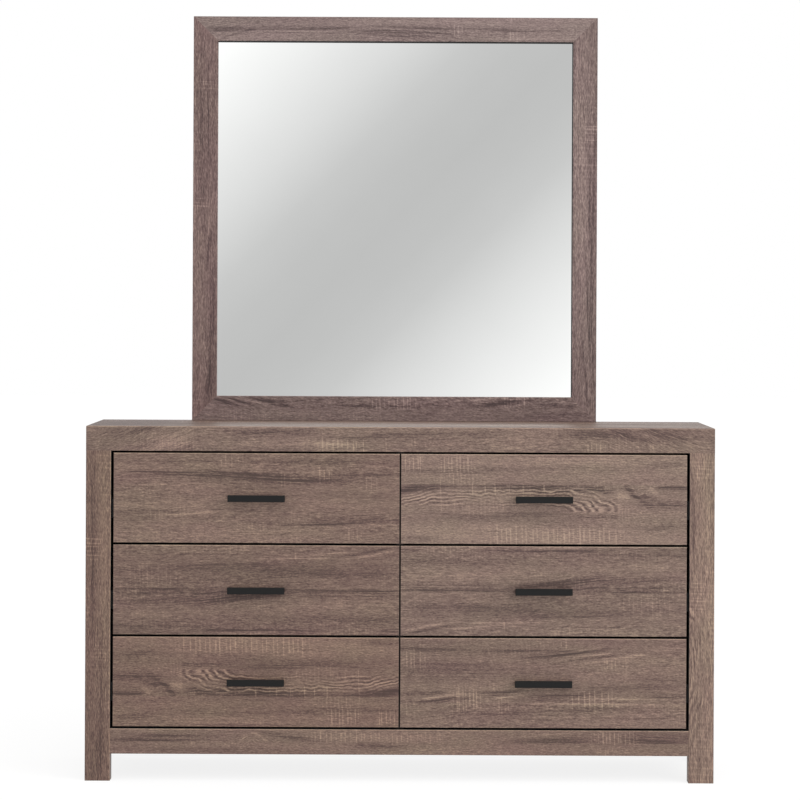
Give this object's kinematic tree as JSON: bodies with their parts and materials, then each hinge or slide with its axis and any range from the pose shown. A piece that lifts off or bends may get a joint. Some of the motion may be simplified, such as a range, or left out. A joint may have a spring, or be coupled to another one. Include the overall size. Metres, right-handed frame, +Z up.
{
  "type": "dresser with mirror",
  "caption": "Wide wood-grain dresser with bar-pull drawers on telescopic rails and a square framed mirror standing on its top.",
  "frame": {"origin": "on the floor, under the middle of the object's box", "axes": "+Z up, -Y out of the drawer fronts, +X to the right of someone facing it"},
  "size_m": [1.524, 0.4472, 1.89],
  "materials": {
    "oak_laminate": "grey-brown rough-sawn oak laminate, matte",
    "carcase_board": "plain brown laminated board",
    "drawer_board": "wrapped drawer board, matte",
    "back_board": "thin pressed board",
    "black_metal": "matte black powder coat",
    "black_steel": "black electro-coated steel",
    "zinc_steel": "zinc plated",
    "silvered_glass": "polished"
  },
  "bodies": {
    "case": {"top_panel": "oak_laminate", "top_underboard": "carcase_board", "left_front_post": "oak_laminate", "right_front_post": "oak_laminate", "left_end_panel": "oak_laminate", "right_end_panel": "oak_laminate", "left_inner_panel": "carcase_board", "right_inner_panel": "carcase_board", "side_spacers": "carcase_board", "bottom_rail": "oak_laminate", "bottom_panel": "carcase_board", "center_partition": "carcase_board", "back_panel": "back_board", "mirror_bottom_rail": "oak_laminate", "mirror_top_rail": "oak_laminate", "mirror_left_stile": "oak_laminate", "mirror_right_stile": "oak_laminate", "mirror_glass": "silvered_glass", "mirror_backing": "back_board", "left_mirror_support": "carcase_board", "right_mirror_support": "carcase_board", "support_screws": "zinc_steel", "fixed_rails_left": "black_steel", "fixed_rails_right": "black_steel"},
    "drawer_left_bottom": {"drawer_front_left_bottom": "oak_laminate", "drawer_box_left_bottom": "drawer_board", "drawer_floor_left_bottom": "back_board", "drawer_handle_left_bottom": "black_metal", "drawer_runners_left_bottom": "black_steel"},
    "rails_left_bottom": {"sliding_rails_left_bottom": "black_steel"},
    "drawer_left_middle": {"drawer_front_left_middle": "oak_laminate", "drawer_box_left_middle": "drawer_board", "drawer_floor_left_middle": "back_board", "drawer_handle_left_middle": "black_metal", "drawer_runners_left_middle": "black_steel"},
    "rails_left_middle": {"sliding_rails_left_middle": "black_steel"},
    "drawer_left_top": {"drawer_front_left_top": "oak_laminate", "drawer_box_left_top": "drawer_board", "drawer_floor_left_top": "back_board", "drawer_handle_left_top": "black_metal", "drawer_runners_left_top": "black_steel"},
    "rails_left_top": {"sliding_rails_left_top": "black_steel"},
    "drawer_right_bottom": {"drawer_front_right_bottom": "oak_laminate", "drawer_box_right_bottom": "drawer_board", "drawer_floor_right_bottom": "back_board", "drawer_handle_right_bottom": "black_metal", "drawer_runners_right_bottom": "black_steel"},
    "rails_right_bottom": {"sliding_rails_right_bottom": "black_steel"},
    "drawer_right_middle": {"drawer_front_right_middle": "oak_laminate", "drawer_box_right_middle": "drawer_board", "drawer_floor_right_middle": "back_board", "drawer_handle_right_middle": "black_metal", "drawer_runners_right_middle": "black_steel"},
    "rails_right_middle": {"sliding_rails_right_middle": "black_steel"},
    "drawer_right_top": {"drawer_front_right_top": "oak_laminate", "drawer_box_right_top": "drawer_board", "drawer_floor_right_top": "back_board", "drawer_handle_right_top": "black_metal", "drawer_runners_right_top": "black_steel"},
    "rails_right_top": {"sliding_rails_right_top": "black_steel"}
  },
  "joints": [
    {"name": "drawer_left_bottom_slide", "type": "slide", "parent": "case", "child": "drawer_left_bottom", "axis": [0, -1, 0], "range_m": [0, 0.33]},
    {"name": "rails_left_bottom_slide", "type": "slide", "parent": "case", "child": "rails_left_bottom", "axis": [0, -1, 0], "range_m": [0, 0.165]},
    {"name": "drawer_left_middle_slide", "type": "slide", "parent": "case", "child": "drawer_left_middle", "axis": [0, -1, 0], "range_m": [0, 0.33]},
    {"name": "rails_left_middle_slide", "type": "slide", "parent": "case", "child": "rails_left_middle", "axis": [0, -1, 0], "range_m": [0, 0.165]},
    {"name": "drawer_left_top_slide", "type": "slide", "parent": "case", "child": "drawer_left_top", "axis": [0, -1, 0], "range_m": [0, 0.33]},
    {"name": "rails_left_top_slide", "type": "slide", "parent": "case", "child": "rails_left_top", "axis": [0, -1, 0], "range_m": [0, 0.165]},
    {"name": "drawer_right_bottom_slide", "type": "slide", "parent": "case", "child": "drawer_right_bottom", "axis": [0, -1, 0], "range_m": [0, 0.33]},
    {"name": "rails_right_bottom_slide", "type": "slide", "parent": "case", "child": "rails_right_bottom", "axis": [0, -1, 0], "range_m": [0, 0.165]},
    {"name": "drawer_right_middle_slide", "type": "slide", "parent": "case", "child": "drawer_right_middle", "axis": [0, -1, 0], "range_m": [0, 0.33]},
    {"name": "rails_right_middle_slide", "type": "slide", "parent": "case", "child": "rails_right_middle", "axis": [0, -1, 0], "range_m": [0, 0.165]},
    {"name": "drawer_right_top_slide", "type": "slide", "parent": "case", "child": "drawer_right_top", "axis": [0, -1, 0], "range_m": [0, 0.33]},
    {"name": "rails_right_top_slide", "type": "slide", "parent": "case", "child": "rails_right_top", "axis": [0, -1, 0], "range_m": [0, 0.165]}
  ],
  "couplings": [
    {"joint": "rails_left_bottom_slide", "follows": "drawer_left_bottom_slide", "ratio": 0.5},
    {"joint": "rails_left_middle_slide", "follows": "drawer_left_middle_slide", "ratio": 0.5},
    {"joint": "rails_left_top_slide", "follows": "drawer_left_top_slide", "ratio": 0.5},
    {"joint": "rails_right_bottom_slide", "follows": "drawer_right_bottom_slide", "ratio": 0.5},
    {"joint": "rails_right_middle_slide", "follows": "drawer_right_middle_slide", "ratio": 0.5},
    {"joint": "rails_right_top_slide", "follows": "drawer_right_top_slide", "ratio": 0.5}
  ]
}
